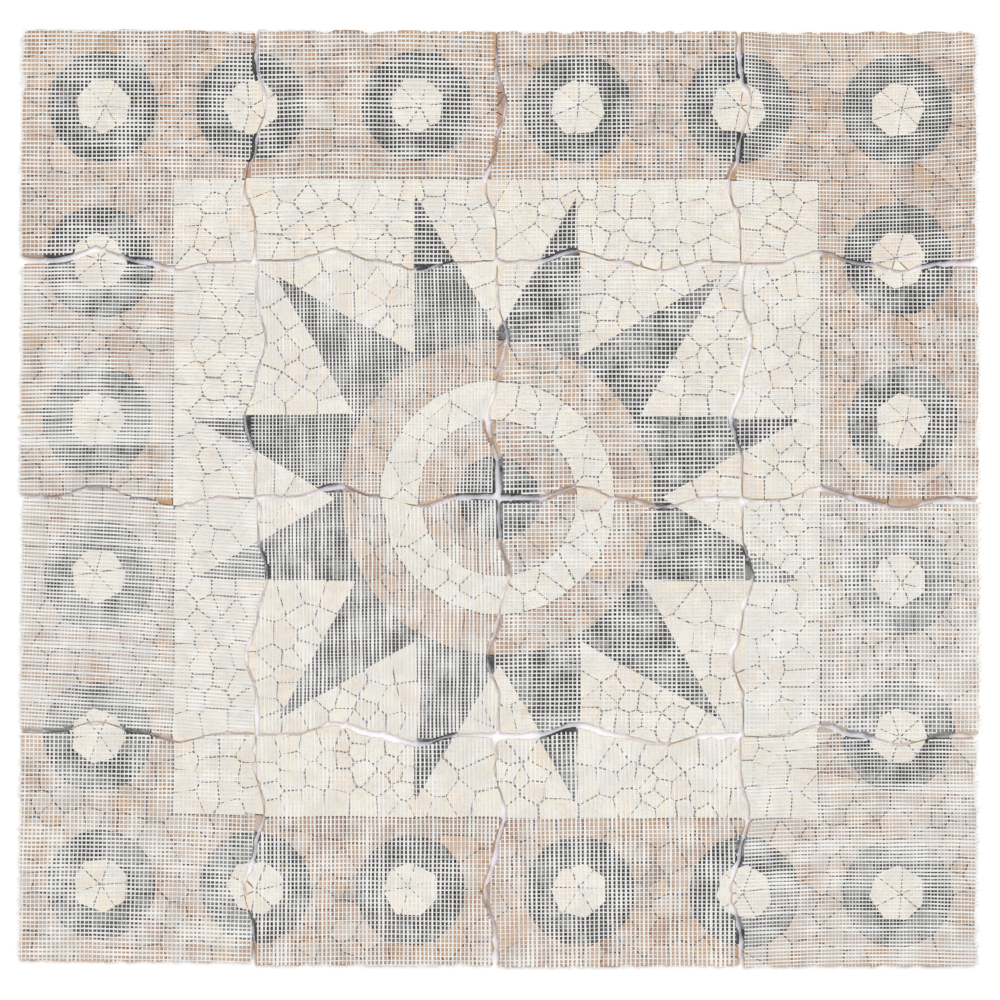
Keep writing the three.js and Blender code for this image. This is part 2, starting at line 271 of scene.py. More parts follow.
def hand_cut(corners, cuts, rng):
    """A closed line with each side set out by eye: cut into shorter ones that wander a little."""
    line = []
    for here, there in zip(corners, corners[1:] + corners[:1]):
        for i in range(cuts):
            share = i / cuts
            line.append(tuple(a + (b - a) * share + by_eye(rng) for a, b in zip(here, there)))
    return line


def hand_ring(x, y, radius, sides, rng):
    """A many-sided ring of nearly even sides."""
    first = rng.uniform(0, 360)
    line = []
    for i in range(sides):
        own_radius = radius + by_eye(rng)
        dx, dy = at(own_radius, first + (i + rng.uniform(-UNEVEN_SIDES, UNEVEN_SIDES)) * 360 / sides)
        line.append((x + dx, y + dy))
    return line


PATTERN_SEED = 12
pattern_rng = random.Random(PATTERN_SEED)
roundel_middles = []
for y, shifts in ((ROUNDEL_UPRIGHT[0], BOTTOM_ROW_SHIFTS), (ROUNDEL_UPRIGHT[-1], TOP_ROW_SHIFTS)):
    roundel_middles += [(x + right, y + up) for x, (right, up) in zip(ROUNDEL_ACROSS, shifts)]
for x, shifts in ((ROUNDEL_ACROSS[0], LEFT_COLUMN_SHIFTS), (ROUNDEL_ACROSS[-1], RIGHT_COLUMN_SHIFTS)):
    roundel_middles += [(x + right, y + up) for y, (right, up) in zip(ROUNDEL_UPRIGHT[1:-1], shifts)]

# Each zone lies on the ones before it
field_width, field_height = FIELD_HALF
field_corners = [
    (-field_width, -field_height),
    (field_width, -field_height),
    (field_width, field_height),
    (-field_width, field_height),
]
star_corners = []
for i in range(STAR_POINTS):
    star_corners.append(at(STAR_VALLEY_RADIUS, i * 360 / STAR_POINTS))
    star_corners.append(at(STAR_TIP_RADIUS, (i + 0.5) * 360 / STAR_POINTS))
zones = [
    ("cream", hand_cut(field_corners, FIELD_SIDE_CUTS, pattern_rng)),
    ("black", hand_cut(star_corners, RAY_SIDE_CUTS, pattern_rng)),
]
for colour, radius, sides in RING_RADII:
    zones.append((colour, hand_ring(0, 0, radius, sides, pattern_rng)))
disc_zones = set()
for x, y in roundel_middles:
    zones.append(("black", hand_ring(x, y, ROUNDEL_RADIUS, ROUNDEL_SIDES, pattern_rng)))
    zones.append(("cream", hand_ring(x, y, DISC_RADIUS, DISC_SIDES, pattern_rng)))
    disc_zones.add(len(zones))

# How chips are spread and shared out, in metres, square metres and degrees
CHIP_SPACING = 0.0275
SAMPLE_SPACING = 0.0035
SAMPLES_A_CHIP = 8
EVENING_ROUNDS = 2
SMALLEST_CHIP = 30e-6
SHORTEST_SIDE = 0.0022
STRAIGHT_WITHIN = 5

# The slices of a roundel's disc: their number, how far they meet from its middle, how far out the
# middles of the slices lie as a share of the disc, and how unevenly
DISC_CHIPS = 6
DISC_OFF_MIDDLE = 0.006
DISC_RING_SHARE = 0.5
UNEVEN_SLICES = 0.22

# What counts as one spot and as on a line, in metres, and the choice of faces that fill their loops
SAME_SPOT = 1e-6
ON_LINE = 1e-7
FILLED = 1

# Half of a joint, at its tightest and widest. The power keeps most of them tight.
JOINT_POWER = 3
HALF_JOINTS = {"pink": (0.00005, 0.00120), "cream": (0.00003, 0.00085), "black": (0.00003, 0.00070)}

# Wear in metres: how far corners are drawn in (mostly little), their chips, the arris and the thickness
CORNER_CUT_BACK = 0.0015
CUT_BACK_POWER = 2
CORNER_CHIP = (0.0003, 0.0026)
ARRIS = (0.0003, 0.0007)
THICKNESS_LOSS = 0.0005

# The most that comes off corners and arrises, as a share of a chip's shortest side
MOST_CHIPPED = 0.38
MOST_WORN = 0.6

# How far the chips of one mat differ in their share of glue
GLUE_SPREAD = 0.06


def zone_grounds(row, column, outline):
    """The bare ground of each zone on a mat, as flat meshes: a list of zone numbers and meshes."""
    points = [Vector(p) for p in outline]
    loops = [list(range(len(points)))]
    numbers = [0]
    low = Vector((min(p.x for p in points), min(p.y for p in points)))
    high = Vector((max(p.x for p in points), max(p.y for p in points)))
    for number, (_, line) in enumerate(zones, start=1):
        xs, ys = zip(*line)
        if max(xs) > low.x and min(xs) < high.x and max(ys) > low.y and min(ys) < high.y:
            loops.append(list(range(len(points), len(points) + len(line))))
            numbers.append(number)
            points += [Vector(p) for p in line]
    places, _, faces, _, _, owners = delaunay_2d_cdt(points, [], loops, FILLED, ON_LINE, True)
    ground_of = {}
    for face, inside in zip(faces, owners):
        if 0 in inside:
            number = max(numbers[i] for i in inside)
            ground_of.setdefault(number, []).append([places[i].to_3d() for i in face])
    grounds = []
    for number in sorted(ground_of):
        ground = bmesh.new()
        for corners in ground_of[number]:
            ground.faces.new([ground.verts.new(c) for c in corners])
        bmesh.ops.remove_doubles(ground, verts=ground.verts[:], dist=SAME_SPOT)
        grounds += [(number, part) for part in separate_parts(ground)]
        ground.free()
    return grounds


def separate_parts(ground):
    """A flat mesh taken apart into meshes that hang together."""
    left = set(ground.faces)
    parts = []
    for start in ground.faces:
        if start not in left:
            continue
        left.discard(start)
        found, waiting = [start], [start]
        while waiting:
            for edge in waiting.pop().edges:
                for face in edge.link_faces:
                    if face in left:
                        left.discard(face)
                        found.append(face)
                        waiting.append(face)
        part = bmesh.new()
        for face in found:
            part.faces.new([part.verts.new(v.co) for v in face.verts])
        bmesh.ops.remove_doubles(part, verts=part.verts[:], dist=SAME_SPOT)
        parts.append(part)
    return parts


def chip_middles(ground, spacing, rng):
    """Points spread over the ground about as evenly as a mosaic maker spreads chips."""
    triangles = np.array([[v.co[:2] for v in face.verts] for face in ground.faces])
    a, b, c = triangles[:, 0], triangles[:, 1], triangles[:, 2]
    areas = np.abs((b - a)[:, 0] * (c - a)[:, 1] - (b - a)[:, 1] * (c - a)[:, 0]) / 2
    count = max(1, round(areas.sum() / spacing**2))
    samples_wanted = max(count * SAMPLES_A_CHIP, int(areas.sum() / SAMPLE_SPACING**2))
    chosen = rng.choice(len(areas), size=samples_wanted, p=areas / areas.sum())
    u, v = rng.random((2, samples_wanted, 1))
    u, v = np.where(u + v > 1, 1 - u, u), np.where(u + v > 1, 1 - v, v)
    samples = a[chosen] + u * (b - a)[chosen] + v * (c - a)[chosen]
    middles = samples[rng.choice(samples_wanted, size=count, replace=False)]
    for _ in range(EVENING_ROUNDS):
        nearest = ((samples[:, None] - middles[None]) ** 2).sum(axis=2).argmin(axis=1)
        for i in range(count):
            if (nearest == i).any():
                middles[i] = samples[nearest == i].mean(axis=0)
    return [Vector((x, y, 0)) for x, y in middles]


def disc_middles(ground, rng):
    """Points on a ring near the middle of a disc, so that its chips meet like slices."""
    verts = [v.co for v in ground.verts]
    middle = min(roundel_middles, key=lambda m: (Vector((*m, 0)) - verts[0]).length)
    off_x, off_y = at(rng.uniform(0, DISC_OFF_MIDDLE), rng.uniform(0, 360))
    first = rng.uniform(0, 360)
    found = []
    for i in range(DISC_CHIPS):
        turn = first + (i + rng.uniform(-UNEVEN_SLICES, UNEVEN_SLICES)) * 360 / DISC_CHIPS
        dx, dy = at(DISC_RADIUS * DISC_RING_SHARE, turn)
        found.append(Vector((middle[0] + off_x + dx, middle[1] + off_y + dy, 0)))
    return found


def blanks_of(ground, middles):
    """The ground shared out between the chips: the corners of each piece nearest to its own middle."""
    blanks = []
    for middle in middles:
        blank = ground.copy()
        others = sorted((m for m in middles if m is not middle), key=lambda m: (m - middle).length)
        for other in others:
            reach = max((v.co - middle).length for v in blank.verts)
            if (other - middle).length > 2 * reach:
                break
            bmesh.ops.bisect_plane(
                blank,
                geom=blank.verts[:] + blank.edges[:] + blank.faces[:],
                dist=ON_LINE,
                plane_co=(middle + other) / 2,
                plane_no=other - middle,
                clear_outer=True,
            )
            if not blank.faces:
                break
        bmesh.ops.dissolve_limit(
            blank,
            angle_limit=math.radians(STRAIGHT_WITHIN),
            use_dissolve_boundaries=False,
            verts=blank.verts[:],
            edges=blank.edges[:],
        )
        blanks += [[v.co.copy() for v in f.verts] for f in blank.faces if f.calc_area() > SMALLEST_CHIP]
        blank.free()
    return blanks


def unknotted(corners):
    """A closed line with its knots cut off: the small loops where it runs over itself."""
    sides = list(zip(corners, corners[1:] + corners[:1]))
    for i, (a, b) in enumerate(sides):
        for j in range(i + 2, len(sides) - (i == 0)):
            c, d = sides[j]
            crossing = intersect_line_line_2d(a.xy, b.xy, c.xy, d.xy)
            if crossing:
                before, within, after = corners[: i + 1], corners[i + 1 : j + 1], corners[j + 1 :]
                larger = max(before + after, within, key=len)
                if larger is within:
                    return unknotted([crossing.to_3d()] + within)
                return unknotted(before + [crossing.to_3d()] + after)
    return corners


def shortest_of(edges):
    return min(edge.calc_length() for edge in edges)


def chip_from(corners, colour, glue, rng):
    """One stone: drawn back from its joints, with knocked-off corners, its thickness and worn arrises."""
    chip = bmesh.new()
    chip.faces.new([chip.verts.new(c) for c in corners])
    bmesh.ops.dissolve_degenerate(chip, dist=SHORTEST_SIDE, edges=chip.edges[:])
    tight, wide = HALF_JOINTS[colour]
    half_joint = tight + (wide - tight) * rng.random() ** JOINT_POWER
    inset = bmesh.ops.inset_individual(
        chip, faces=chip.faces[:], thickness=half_joint, use_even_offset=True
    )
    bmesh.ops.delete(chip, geom=inset["faces"], context="FACES")
    middle = chip.faces[:][0].calc_center_median()
    for vert in chip.verts:
        inwards = (middle - vert.co).normalized()
        vert.co += inwards * CORNER_CUT_BACK * rng.random() ** CUT_BACK_POWER
    corners = unknotted([v.co.copy() for v in chip.faces[:][0].verts])
    chip.clear()
    chip.faces.new([chip.verts.new(c) for c in corners])
    bmesh.ops.bevel(
        chip,
        geom=chip.verts[:],
        offset=min(rng.uniform(*CORNER_CHIP), MOST_CHIPPED * shortest_of(chip.edges)),
        offset_type="OFFSET",
        affect="VERTICES",
        segments=1,
        profile=0.5,
        clamp_overlap=True,
        material=-1,
    )
    back = bmesh.ops.extrude_face_region(chip, geom=chip.faces[:])["geom"]
    back_verts = [g for g in back if isinstance(g, bmesh.types.BMVert)]
    thickness = STONE_THICKNESS - rng.uniform(0, THICKNESS_LOSS)
    bmesh.ops.translate(chip, verts=back_verts, vec=(0, 0, thickness))
    flat_edges = [e for e in chip.edges if abs(e.verts[0].co.z - e.verts[1].co.z) < thickness / 2]
    bmesh.ops.bevel(
        chip,
        geom=flat_edges,
        offset=min(rng.uniform(*ARRIS), MOST_WORN * shortest_of(flat_edges)),
        offset_type="OFFSET",
        affect="EDGES",
        segments=1,
        profile=0.5,
        clamp_overlap=True,
        material=-1,
    )
    bmesh.ops.recalc_face_normals(chip, faces=chip.faces[:])
    own = chip.loops.layers.float_color.new("chip")
    words = (rng.random(), rng.random(), glue + rng.uniform(-1, 1) * GLUE_SPREAD, 1.0)
    for face in chip.faces:
        for loop in face.loops:
            loop[own] = words
    return chip


# How much dried glue covers each mat's backs, from little to much
GLUE = (
    (0.33, 0.33, 0.32, 0.24),
    (0.50, 0.37, 0.46, 0.46),
    (0.60, 0.45, 0.44, 0.62),
    (0.50, 0.38, 0.39, 0.53),
)

stones = {}
scratch = bpy.data.meshes.new("scratch")
for row in ROWS:
    for column in COLUMNS:
        rng = random.Random(100 * row + column)
        np_rng = np.random.default_rng(100 * row + column)
        lay = lay_of(row, column)
        for number, ground in zone_grounds(row, column, mat_outline(row, column, rng)):
            colour = zones[number - 1][0] if number else "pink"
            if number in disc_zones:
                middles = disc_middles(ground, rng)
            else:
                middles = chip_middles(ground, CHIP_SPACING, np_rng)
            into = stones.setdefault((colour, row, column), bmesh.new())
            for corners in blanks_of(ground, middles):
                chip = chip_from(corners, colour, GLUE[row][column], rng)
                chip.transform(lay)
                chip.to_mesh(scratch)
                into.from_mesh(scratch)
                chip.free()
            ground.free()
bpy.data.meshes.remove(scratch)


def mat_name(row, column):
    return "r%dc%d" % (row + 1, column + 1)


def finished(name, mesh, material, nodes):
    """A piece from its mesh, with its material, riding on the panel in place of its solids."""
    data = bpy.data.meshes.new(name)
    mesh.to_mesh(data)
    mesh.free()
    data.materials.append(material)
    piece = bpy.data.objects.new(name, data)
    bpy.context.scene.collection.objects.link(piece)
    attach(piece, "root")
    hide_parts(*nodes)
    return piece


# Nodes and colours shared by the materials
def srgb(red, green, blue):
    """A colour as seen on a screen, 0 to 255, as the linear colour that shaders take."""
    parts = [c / 255 for c in (red, green, blue)]
    return tuple(c / 12.92 if c <= 0.04045 else ((c + 0.055) / 1.055) ** 2.4 for c in parts) + (1.0,)


def add(tree, kind, sockets=None, **settings):
    """A node with its settings, and each socket filled with a value or linked to a node's output."""
    made = tree.nodes.new("ShaderNode" + kind)
    for name, value in settings.items():
        setattr(made, name, value)
    for name, value in (sockets or {}).items():
        if isinstance(value, bpy.types.NodeSocket):
            tree.links.new(value, made.inputs[name])
        else:
            made.inputs[name].default_value = value
    return made


def calculate(tree, operation, first, second=0.0, third=0.0):
    return add(tree, "Math", {0: first, 1: second, 2: third}, operation=operation).outputs[0]


def between(tree, value, low, high, to_low=0.0, to_high=1.0):
    """A value's place between two others, smoothed and kept within them."""
    mapped = add(
        tree,
        "MapRange",
        {"Value": value, "From Min": low, "From Max": high, "To Min": to_low, "To Max": to_high},
        interpolation_type="SMOOTHSTEP",
    )
    return mapped.outputs["Result"]


def blend(tree, amount, under, over):
    mixed = add(tree, "Mix", {"Factor": amount, 6: under, 7: over}, data_type="RGBA")
    return mixed.outputs[2]


def new_group(name, inputs, outputs):
    """An empty node group with its sockets, and the nodes that stand for them."""
    group = bpy.data.node_groups.new(name, "ShaderNodeTree")
    for label, kind in inputs:
        group.interface.new_socket(label, in_out="INPUT", socket_type=kind)
    for label, kind in outputs:
        group.interface.new_socket(label, in_out="OUTPUT", socket_type=kind)
    return group, group.nodes.new("NodeGroupInput"), group.nodes.new("NodeGroupOutput")


# The cloud and the thin veins of marble, different in each chip
VEIN_WIDTH = 0.035
marble_figure, taken, given = new_group(
    "Marble figure",
    (("Vector", "NodeSocketVector"), ("Chip", "NodeSocketFloat"), ("Veins", "NodeSocketFloat")),
    (("Cloud", "NodeSocketFloat"), ("Vein", "NodeSocketFloat")),
)
away = calculate(marble_figure, "MULTIPLY", taken.outputs["Chip"], 9.0)
shift = add(marble_figure, "CombineXYZ", {"X": away, "Y": away, "Z": away}).outputs[0]
moved = add(
    marble_figure, "VectorMath", {0: taken.outputs["Vector"], 1: shift}, operation="ADD"
).outputs[0]
cloud = add(marble_figure, "TexNoise", {"Vector": moved, "Scale": 70.0, "Detail": 5.0, "Roughness": 0.62})
ridge = add(
    marble_figure, "TexNoise", {"Vector": moved, "Scale": 34.0, "Detail": 3.0, "Distortion": 1.4}
).outputs["Fac"]
off_ridge = calculate(marble_figure, "ABSOLUTE", calculate(marble_figure, "SUBTRACT", ridge, 0.5))
vein = between(marble_figure, off_ridge, 0.0, VEIN_WIDTH, 1.0, 0.0)
clouds = between(marble_figure, cloud.outputs["Fac"], 0.3, 0.7)
veins_shown = calculate(marble_figure, "MULTIPLY", vein, taken.outputs["Veins"])
marble_figure.links.new(clouds, given.inputs["Cloud"])
marble_figure.links.new(veins_shown, given.inputs["Vein"])

# The film of dried glue between net and stone: patches, with small breaks in them
dried_glue, taken, given = new_group(
    "Dried glue",
    (("Vector", "NodeSocketVector"), ("Share", "NodeSocketFloat")),
    (("Film", "NodeSocketFloat"),),
)
BREAKS = 0.35
FILM_EDGE = (-0.10, 0.09)
spot = taken.outputs["Vector"]
patches = add(dried_glue, "TexNoise", {"Vector": spot, "Scale": 30.0, "Detail": 2.5}).outputs["Fac"]
breaks = add(dried_glue, "TexNoise", {"Vector": spot, "Scale": 150.0, "Detail": 2.0}).outputs["Fac"]
uneven = calculate(dried_glue, "MULTIPLY_ADD", breaks, BREAKS, -BREAKS / 2)
level = calculate(dried_glue, "ADD", patches, uneven)
edge = calculate(dried_glue, "SUBTRACT", 1.0, taken.outputs["Share"])
wide = calculate(dried_glue, "SUBTRACT", level, edge)
dried_glue.links.new(between(dried_glue, wide, *FILM_EDGE), given.inputs["Film"])

GLUE_WHITE = srgb(208, 208, 205)
DUST = srgb(214, 208, 200)
CLOUDINESS = 0.55
SAWN_ROUGHNESS = 0.68
HONED_ROUGHNESS = 0.26

# Where a chip's back and its face begin, in metres above the floor
BACK_LEVEL = (0.0070, 0.0074)
FACE_LEVEL = (0.0004, 0.0010)


def marble(name, tones, pale, vein_colour, veins, film, dust):
    """A marble that is honed on its face below and sawn, dusty and filmed with glue on its back."""
    material = bpy.data.materials.new(name)
    material.use_nodes = True
    tree = material.node_tree
    shader = tree.nodes["Principled BSDF"]
    place = add(tree, "TexCoord").outputs["Object"]
    words = add(tree, "Attribute", attribute_name="chip").outputs["Color"]
    tone, own, glue = add(tree, "SeparateColor", {"Color": words}).outputs
    level = add(tree, "SeparateXYZ", {"Vector": place}).outputs["Z"]
    back = between(tree, level, *BACK_LEVEL)
    face = between(tree, level, *FACE_LEVEL, 1.0, 0.0)

    figure = add(tree, "Group", node_tree=marble_figure)
    tree.links.new(place, figure.inputs["Vector"])
    tree.links.new(own, figure.inputs["Chip"])
    figure.inputs["Veins"].default_value = veins

    ramp = add(tree, "ValToRGB", {"Fac": tone})
    ramp.color_ramp.interpolation = "LINEAR"
    stops = ramp.color_ramp.elements
    while len(stops) < len(tones):
        stops.new(0.5)
    for i, colour in enumerate(tones):
        stops[i].position = i / (len(tones) - 1)
        stops[i].color = srgb(*colour)
    cloud = calculate(tree, "MULTIPLY", figure.outputs["Cloud"], CLOUDINESS)
    clouded = blend(tree, cloud, ramp.outputs["Color"], srgb(*pale))
    veined = blend(tree, figure.outputs["Vein"], clouded, srgb(*vein_colour))
    dusty = blend(tree, calculate(tree, "MULTIPLY", back, dust), veined, DUST)
    glued = add(tree, "Group", node_tree=dried_glue)
    tree.links.new(place, glued.inputs["Vector"])
    tree.links.new(glue, glued.inputs["Share"])
    film_on_back = calculate(tree, "MULTIPLY", glued.outputs["Film"], back)
    filmed = blend(tree, calculate(tree, "MULTIPLY", film_on_back, film), dusty, GLUE_WHITE)
    tree.links.new(filmed, shader.inputs["Base Color"])

    rough = calculate(tree, "MULTIPLY_ADD", face, HONED_ROUGHNESS - SAWN_ROUGHNESS, SAWN_ROUGHNESS)
    tree.links.new(rough, shader.inputs["Roughness"])
    grain = add(tree, "TexNoise", {"Vector": place, "Scale": 900.0, "Detail": 3.0}).outputs["Fac"]
    relief = calculate(tree, "MULTIPLY", grain, calculate(tree, "SUBTRACT", 1.0, face))
    bump = add(tree, "Bump", {"Height": relief, "Strength": 0.25, "Distance": 0.0004})
    tree.links.new(bump.outputs["Normal"], shader.inputs["Normal"])
    shader.inputs["Specular IOR Level"].default_value = 0.3
    return material


# Pink chips: salmon and rose marble with ochre pieces among them. They fill the border round the
# roundels, and the outer ring and the disc of the medallion.
pink_marble = marble(
    "pink_marble",
    tones=(
        (140, 106, 90), (172, 132, 104), (190, 146, 100),
        (152, 116, 98), (202, 166, 134), (166, 136, 118),
    ),
    pale=(204, 180, 156),
    vein_colour=(128, 90, 76),
    veins=0.35,
    film=0.42,
    dust=0.06,
)

BORDER = "border_stones_"
CAD_NODES = set(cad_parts)


def stone_nodes(row, column, middle_names, outer_names=(BORDER,)):
    """The names of the solids that a colour's chips stand for on a mat."""
    inner = row in ROWS[1:-1] and column in COLUMNS[1:-1]
    names = [n + mat_name(row, column) for n in (middle_names if inner else outer_names)]
    return [n for n in names if n in CAD_NODES]


def stone_pieces(colour, material, middle_names, outer_names=(BORDER,)):
    """The chips of one colour, as a piece for each mat."""
    for (kind, row, column), mesh in stones.items():
        if kind == colour:
            name = "%s_chips_%s" % (colour, mat_name(row, column))
            nodes = stone_nodes(row, column, middle_names, outer_names)
            finished(name, mesh, material, nodes)


stone_pieces("pink", pink_marble, ("medallion_stones_",))

# Cream chips: ivory marble with faint grey and straw tints. They fill the field round the star, the
# pale ring of the medallion, and the disc in each roundel.
cream_marble = marble(
    "cream_marble",
    tones=((232, 212, 188), (235, 222, 202), (239, 233, 217), (237, 223, 198), (225, 218, 205)),
    pale=(238, 232, 223),
    vein_colour=(192, 172, 152),
    veins=0.3,
    film=0.25,
    dust=0.05,
)
CREAM_NODES = (
    "field_corner_stones_",
    "field_first_wedge_stones_",
    "field_second_wedge_stones_",
    "medallion_stones_",
)
stone_pieces("cream", cream_marble, CREAM_NODES)

# Black chips: charcoal marble with thin pale veins. They make the star, the middle of the medallion
# and the ring of each roundel.
black_marble = marble(
    "black_marble",
    tones=((24, 24, 26), (42, 43, 44), (30, 30, 32), (62, 63, 63), (36, 36, 39)),
    pale=(74, 73, 75),
    vein_colour=(140, 137, 134),
    veins=0.35,
    film=0.34,
    dust=0.02,
)
stone_pieces("black", black_marble, ("star_stones_", "centre_stones_"), (BORDER, "star_tip_stones_"))

# The nets. Each mat's is a white woven glass mesh, pressed into wet white glue on the backs of the
# chips. It is cut straight, stops short of most seams, and is trimmed where the stones curve in. Its
# thread ends stand out a little at the rim of the panel.
THREAD_POINTS = 30
END_HALVINGS = 7

# How thick a thread of the usual width is, and the heights of threads that pass under and over
THREAD_THICKNESS = 0.00045
USUAL_THREAD_WIDTH = 0.0017
UNDER_HEIGHT = STONE_THICKNESS + 0.00012
OVER_HEIGHT = STONE_THICKNESS + 0.00040

# A thread's width against its net's, how far glue swells it in places, and the unevenness of the pitch
OWN_WIDTHS = (0.66, 1.36)
SWELLING = 0.5
SWELLING_FINENESS = 38
SWELLING_SLICE = 5.5
OWN_PITCHES = (0.96, 1.04)

# A net is laid out this much larger than its mat, and then trimmed
NET_OVERSIZE = 1.06

# How far the ends of threads and the outermost threads reach past the panel's rim, in metres, and the
# share by which ends differ at a seam
LEVEL_FRAY = (-0.0005, 0.0042)
UPRIGHT_FRAY = (-0.0022, 0.0012)
LAST_THREAD = -0.0008
RAG_AT_SEAM = 0.3

# How far the threads drift from their weave and how finely, coarse and fine. The drift to the right and
# the one up are read from two slices of noise.
DRIFT = ((0.0010, 11.0), (0.0004, 42.0))
RIGHT_SLICE = 0.25
UP_SLICE = 0.75

# Turn in degrees, and how far the level and the upright threads are bowed, in metres
NETS = (
    ((0.3, 0.001, 0.000), (0.2, 0.002, 0.001), (0.1, 0.001, 0.001), (-0.2, -0.006, 0.001)),
    ((-0.4, 0.002, 0.000), (0.4, 0.001, 0.002), (0.2, 0.001, 0.001), (0.0, 0.001, 0.001)),
    ((-2.6, 0.001, 0.002), (0.3, 0.001, 0.001), (0.2, 0.000, 0.001), (0.0, 0.001, 0.001)),
    ((-0.5, 0.001, 0.000), (0.1, 0.001, 0.001), (0.2, 0.001, 0.001), (0.3, 0.003, 0.001)),
)

# From thread to thread, in millimetres: level threads and upright ones. There are a wide and a fine
# mesh, and some nets are a quarter turned.
PITCHES = (
    ((5.15, 5.15), (5.49, 5.11), (4.96, 5.51), (4.64, 4.33)),
    ((4.63, 4.25), (4.50, 4.45), (5.73, 5.17), (5.03, 5.61)),
    ((4.55, 4.25), (4.28, 4.84), (5.05, 5.65), (5.58, 5.09)),
    ((5.30, 5.25), (5.51, 5.10), (4.92, 5.64), (4.67, 4.31)),
)

# How wide the threads are as a share of their pitch: level threads and upright ones
WIDTH_SHARES = (
    ((0.353, 0.268), (0.353, 0.250), (0.314, 0.268), (0.314, 0.214)),
    ((0.470, 0.170), (0.220, 0.350), (0.333, 0.250), (0.294, 0.286)),
    ((0.500, 0.190), (0.140, 0.470), (0.314, 0.286), (0.373, 0.339)),
    ((0.373, 0.304), (0.200, 0.420), (0.210, 0.410), (0.440, 0.200)),
)

# How far each net reaches over the bulges of its seams, in millimetres: left, top, right and bottom
NET_REACHES = (
    ((0, 0, 3, 6), (6.5, 0, 2, 4), (8, 0, 3, 3), (6, 0, 0, 1.4)),
    ((0, 8, 6, 3), (12, 12, 2, 8.5), (3, 11, 3, 9), (11, 10.5, 0, 0)),
    ((0, 8, 9, 4), (8, 11, 10, 6), (6, 6, 3, 9), (-2, 6, 0, 9)),
    ((0, 11, 1, 0), (4, 5, 9.5, 0), (7.5, 8, 9, 0), (7.5, 12, 0, 0)),
)

# How much of the stones each net leaves bare along its seams, in millimetres, in the same order
BARE_STRIPS = (
    ((0, 0, 4.5, 4.0), (1.5, 0, 3.0, 1.5), (1.5, 0, 5.0, 2.5), (4.0, 0, 0, 2.0)),
    ((0, 3.0, 1.2, 1.2), (1.2, 1.2, 4.2, 3.2), (4.5, 1.5, 1.2, 4.0), (2.0, 2.8, 0, 4.0)),
    ((0, 1.2, 1.2, 4.2), (3.0, 1.2, 3.0, 3.0), (4.2, 4.0, 3.2, 1.5), (1.5, 2.0, 0, 4.0)),
    ((0, 1.5, 2.5, 0), (2.8, 1.5, 3.0, 0), (1.5, 2.8, 4.0, 0), (3.0, 2.0, 0, 0)),
)


def on_net(row, column, x, y, level_rag, upright_rag):
    """Whether a spot of a mat lies under its net. The rags are how far thread ends reach past the rim."""
    left, bottom, right, top = cell(row, column)
    across, down = (x - left) / (right - left), (top - y) / (top - bottom)

    def room(side, share):
        rag = level_rag if side in ("left", "right") else upright_rag
        if meets(row, column, side):
            outward = wave(row, column, side, share) * (1 if side in ("right", "top") else -1)
            bare = BARE_STRIPS[row][column][SIDES.index(side)] / 1000
            most = NET_REACHES[row][column][SIDES.index(side)] / 1000
            return min(outward - bare, most) + spread(row, column, side, share) - abs(rag) * RAG_AT_SEAM
        return rag

    return (
        x > left - room("left", down)
        and x < right + room("right", down)
        and y > bottom - room("bottom", across)
        and y < top + room("top", across)
    )


def drifted(x, y, seed):
    """A spot of the net as it was pressed down, a little out of its straight weave."""
    right, up = 0.0, 0.0
    for size, fineness in DRIFT:
        right += size * noise.noise(Vector((x * fineness, y * fineness, seed + RIGHT_SLICE)))
        up += size * noise.noise(Vector((x * fineness, y * fineness, seed + UP_SLICE)))
    return Vector((x + right, y + up, 0))


def runs(spots, inside):
    """The stretches of a line of spots that are inside, each taken up to its exact ends."""

    def end(known, beyond):
        for _ in range(END_HALVINGS):
            half = known.lerp(beyond, 0.5)
            known, beyond = (half, beyond) if inside(half) else (known, half)
        return known

    found, run = [], []
    for here, ahead in zip(spots, spots[1:]):
        here_in, ahead_in = inside(here), inside(ahead)
        if here_in and not run:
            run = [here]
        if here_in and not ahead_in:
            run.append(end(here, ahead))
            found.append(run)
            run = []
        elif ahead_in:
            if not here_in:
                run = [end(ahead, here)]
            run.append(ahead)
    if len(run) > 1:
        found.append(run)
    return found


def threads(row, column, upright, rng):
    """The threads of one direction of a net, as runs of spots with their widths."""
    left, bottom, right, top = cell(row, column)
    turn, level_bow, upright_bow = NETS[row][column]
    middle = Vector(((left + right) / 2, (bottom + top) / 2, 0))
    half = Vector(((right - left) / 2, (top - bottom) / 2, 0)) * NET_OVERSIZE
    pitch = PITCHES[row][column][upright] / 1000
    bow = upright_bow if upright else level_bow
    width = pitch * WIDTH_SHARES[row][column][upright]
    turned = Matrix.Rotation(math.radians(turn), 4, "Z")
    reach, side = (half.y, half.x) if upright else (half.x, half.y)
    seed = 10 * row + column
    found = []
    place = -side + rng.uniform(0, pitch)
    while place < side:
        rag = rng.uniform(*(UPRIGHT_FRAY if upright else LEVEL_FRAY))
        level_rag, upright_rag = (LAST_THREAD, rag) if upright else (rag, LAST_THREAD)
        own_width = width * rng.uniform(*OWN_WIDTHS)
        spots = []
        for i in range(THREAD_POINTS + 1):
            along = reach * (2 * i / THREAD_POINTS - 1)
            aside = place + bow * (1 - (along / reach) ** 2)
            spot = Vector((aside, along, 0)) if upright else Vector((along, aside, 0))
            spot = middle + turned @ spot
            spots.append(drifted(spot.x, spot.y, seed))
        for run in runs(spots, lambda s: on_net(row, column, s.x, s.y, level_rag, upright_rag)):
            found.append([(s, own_width * swelling(s, seed)) for s in run])
        place += pitch * rng.uniform(*OWN_PITCHES)
    return found


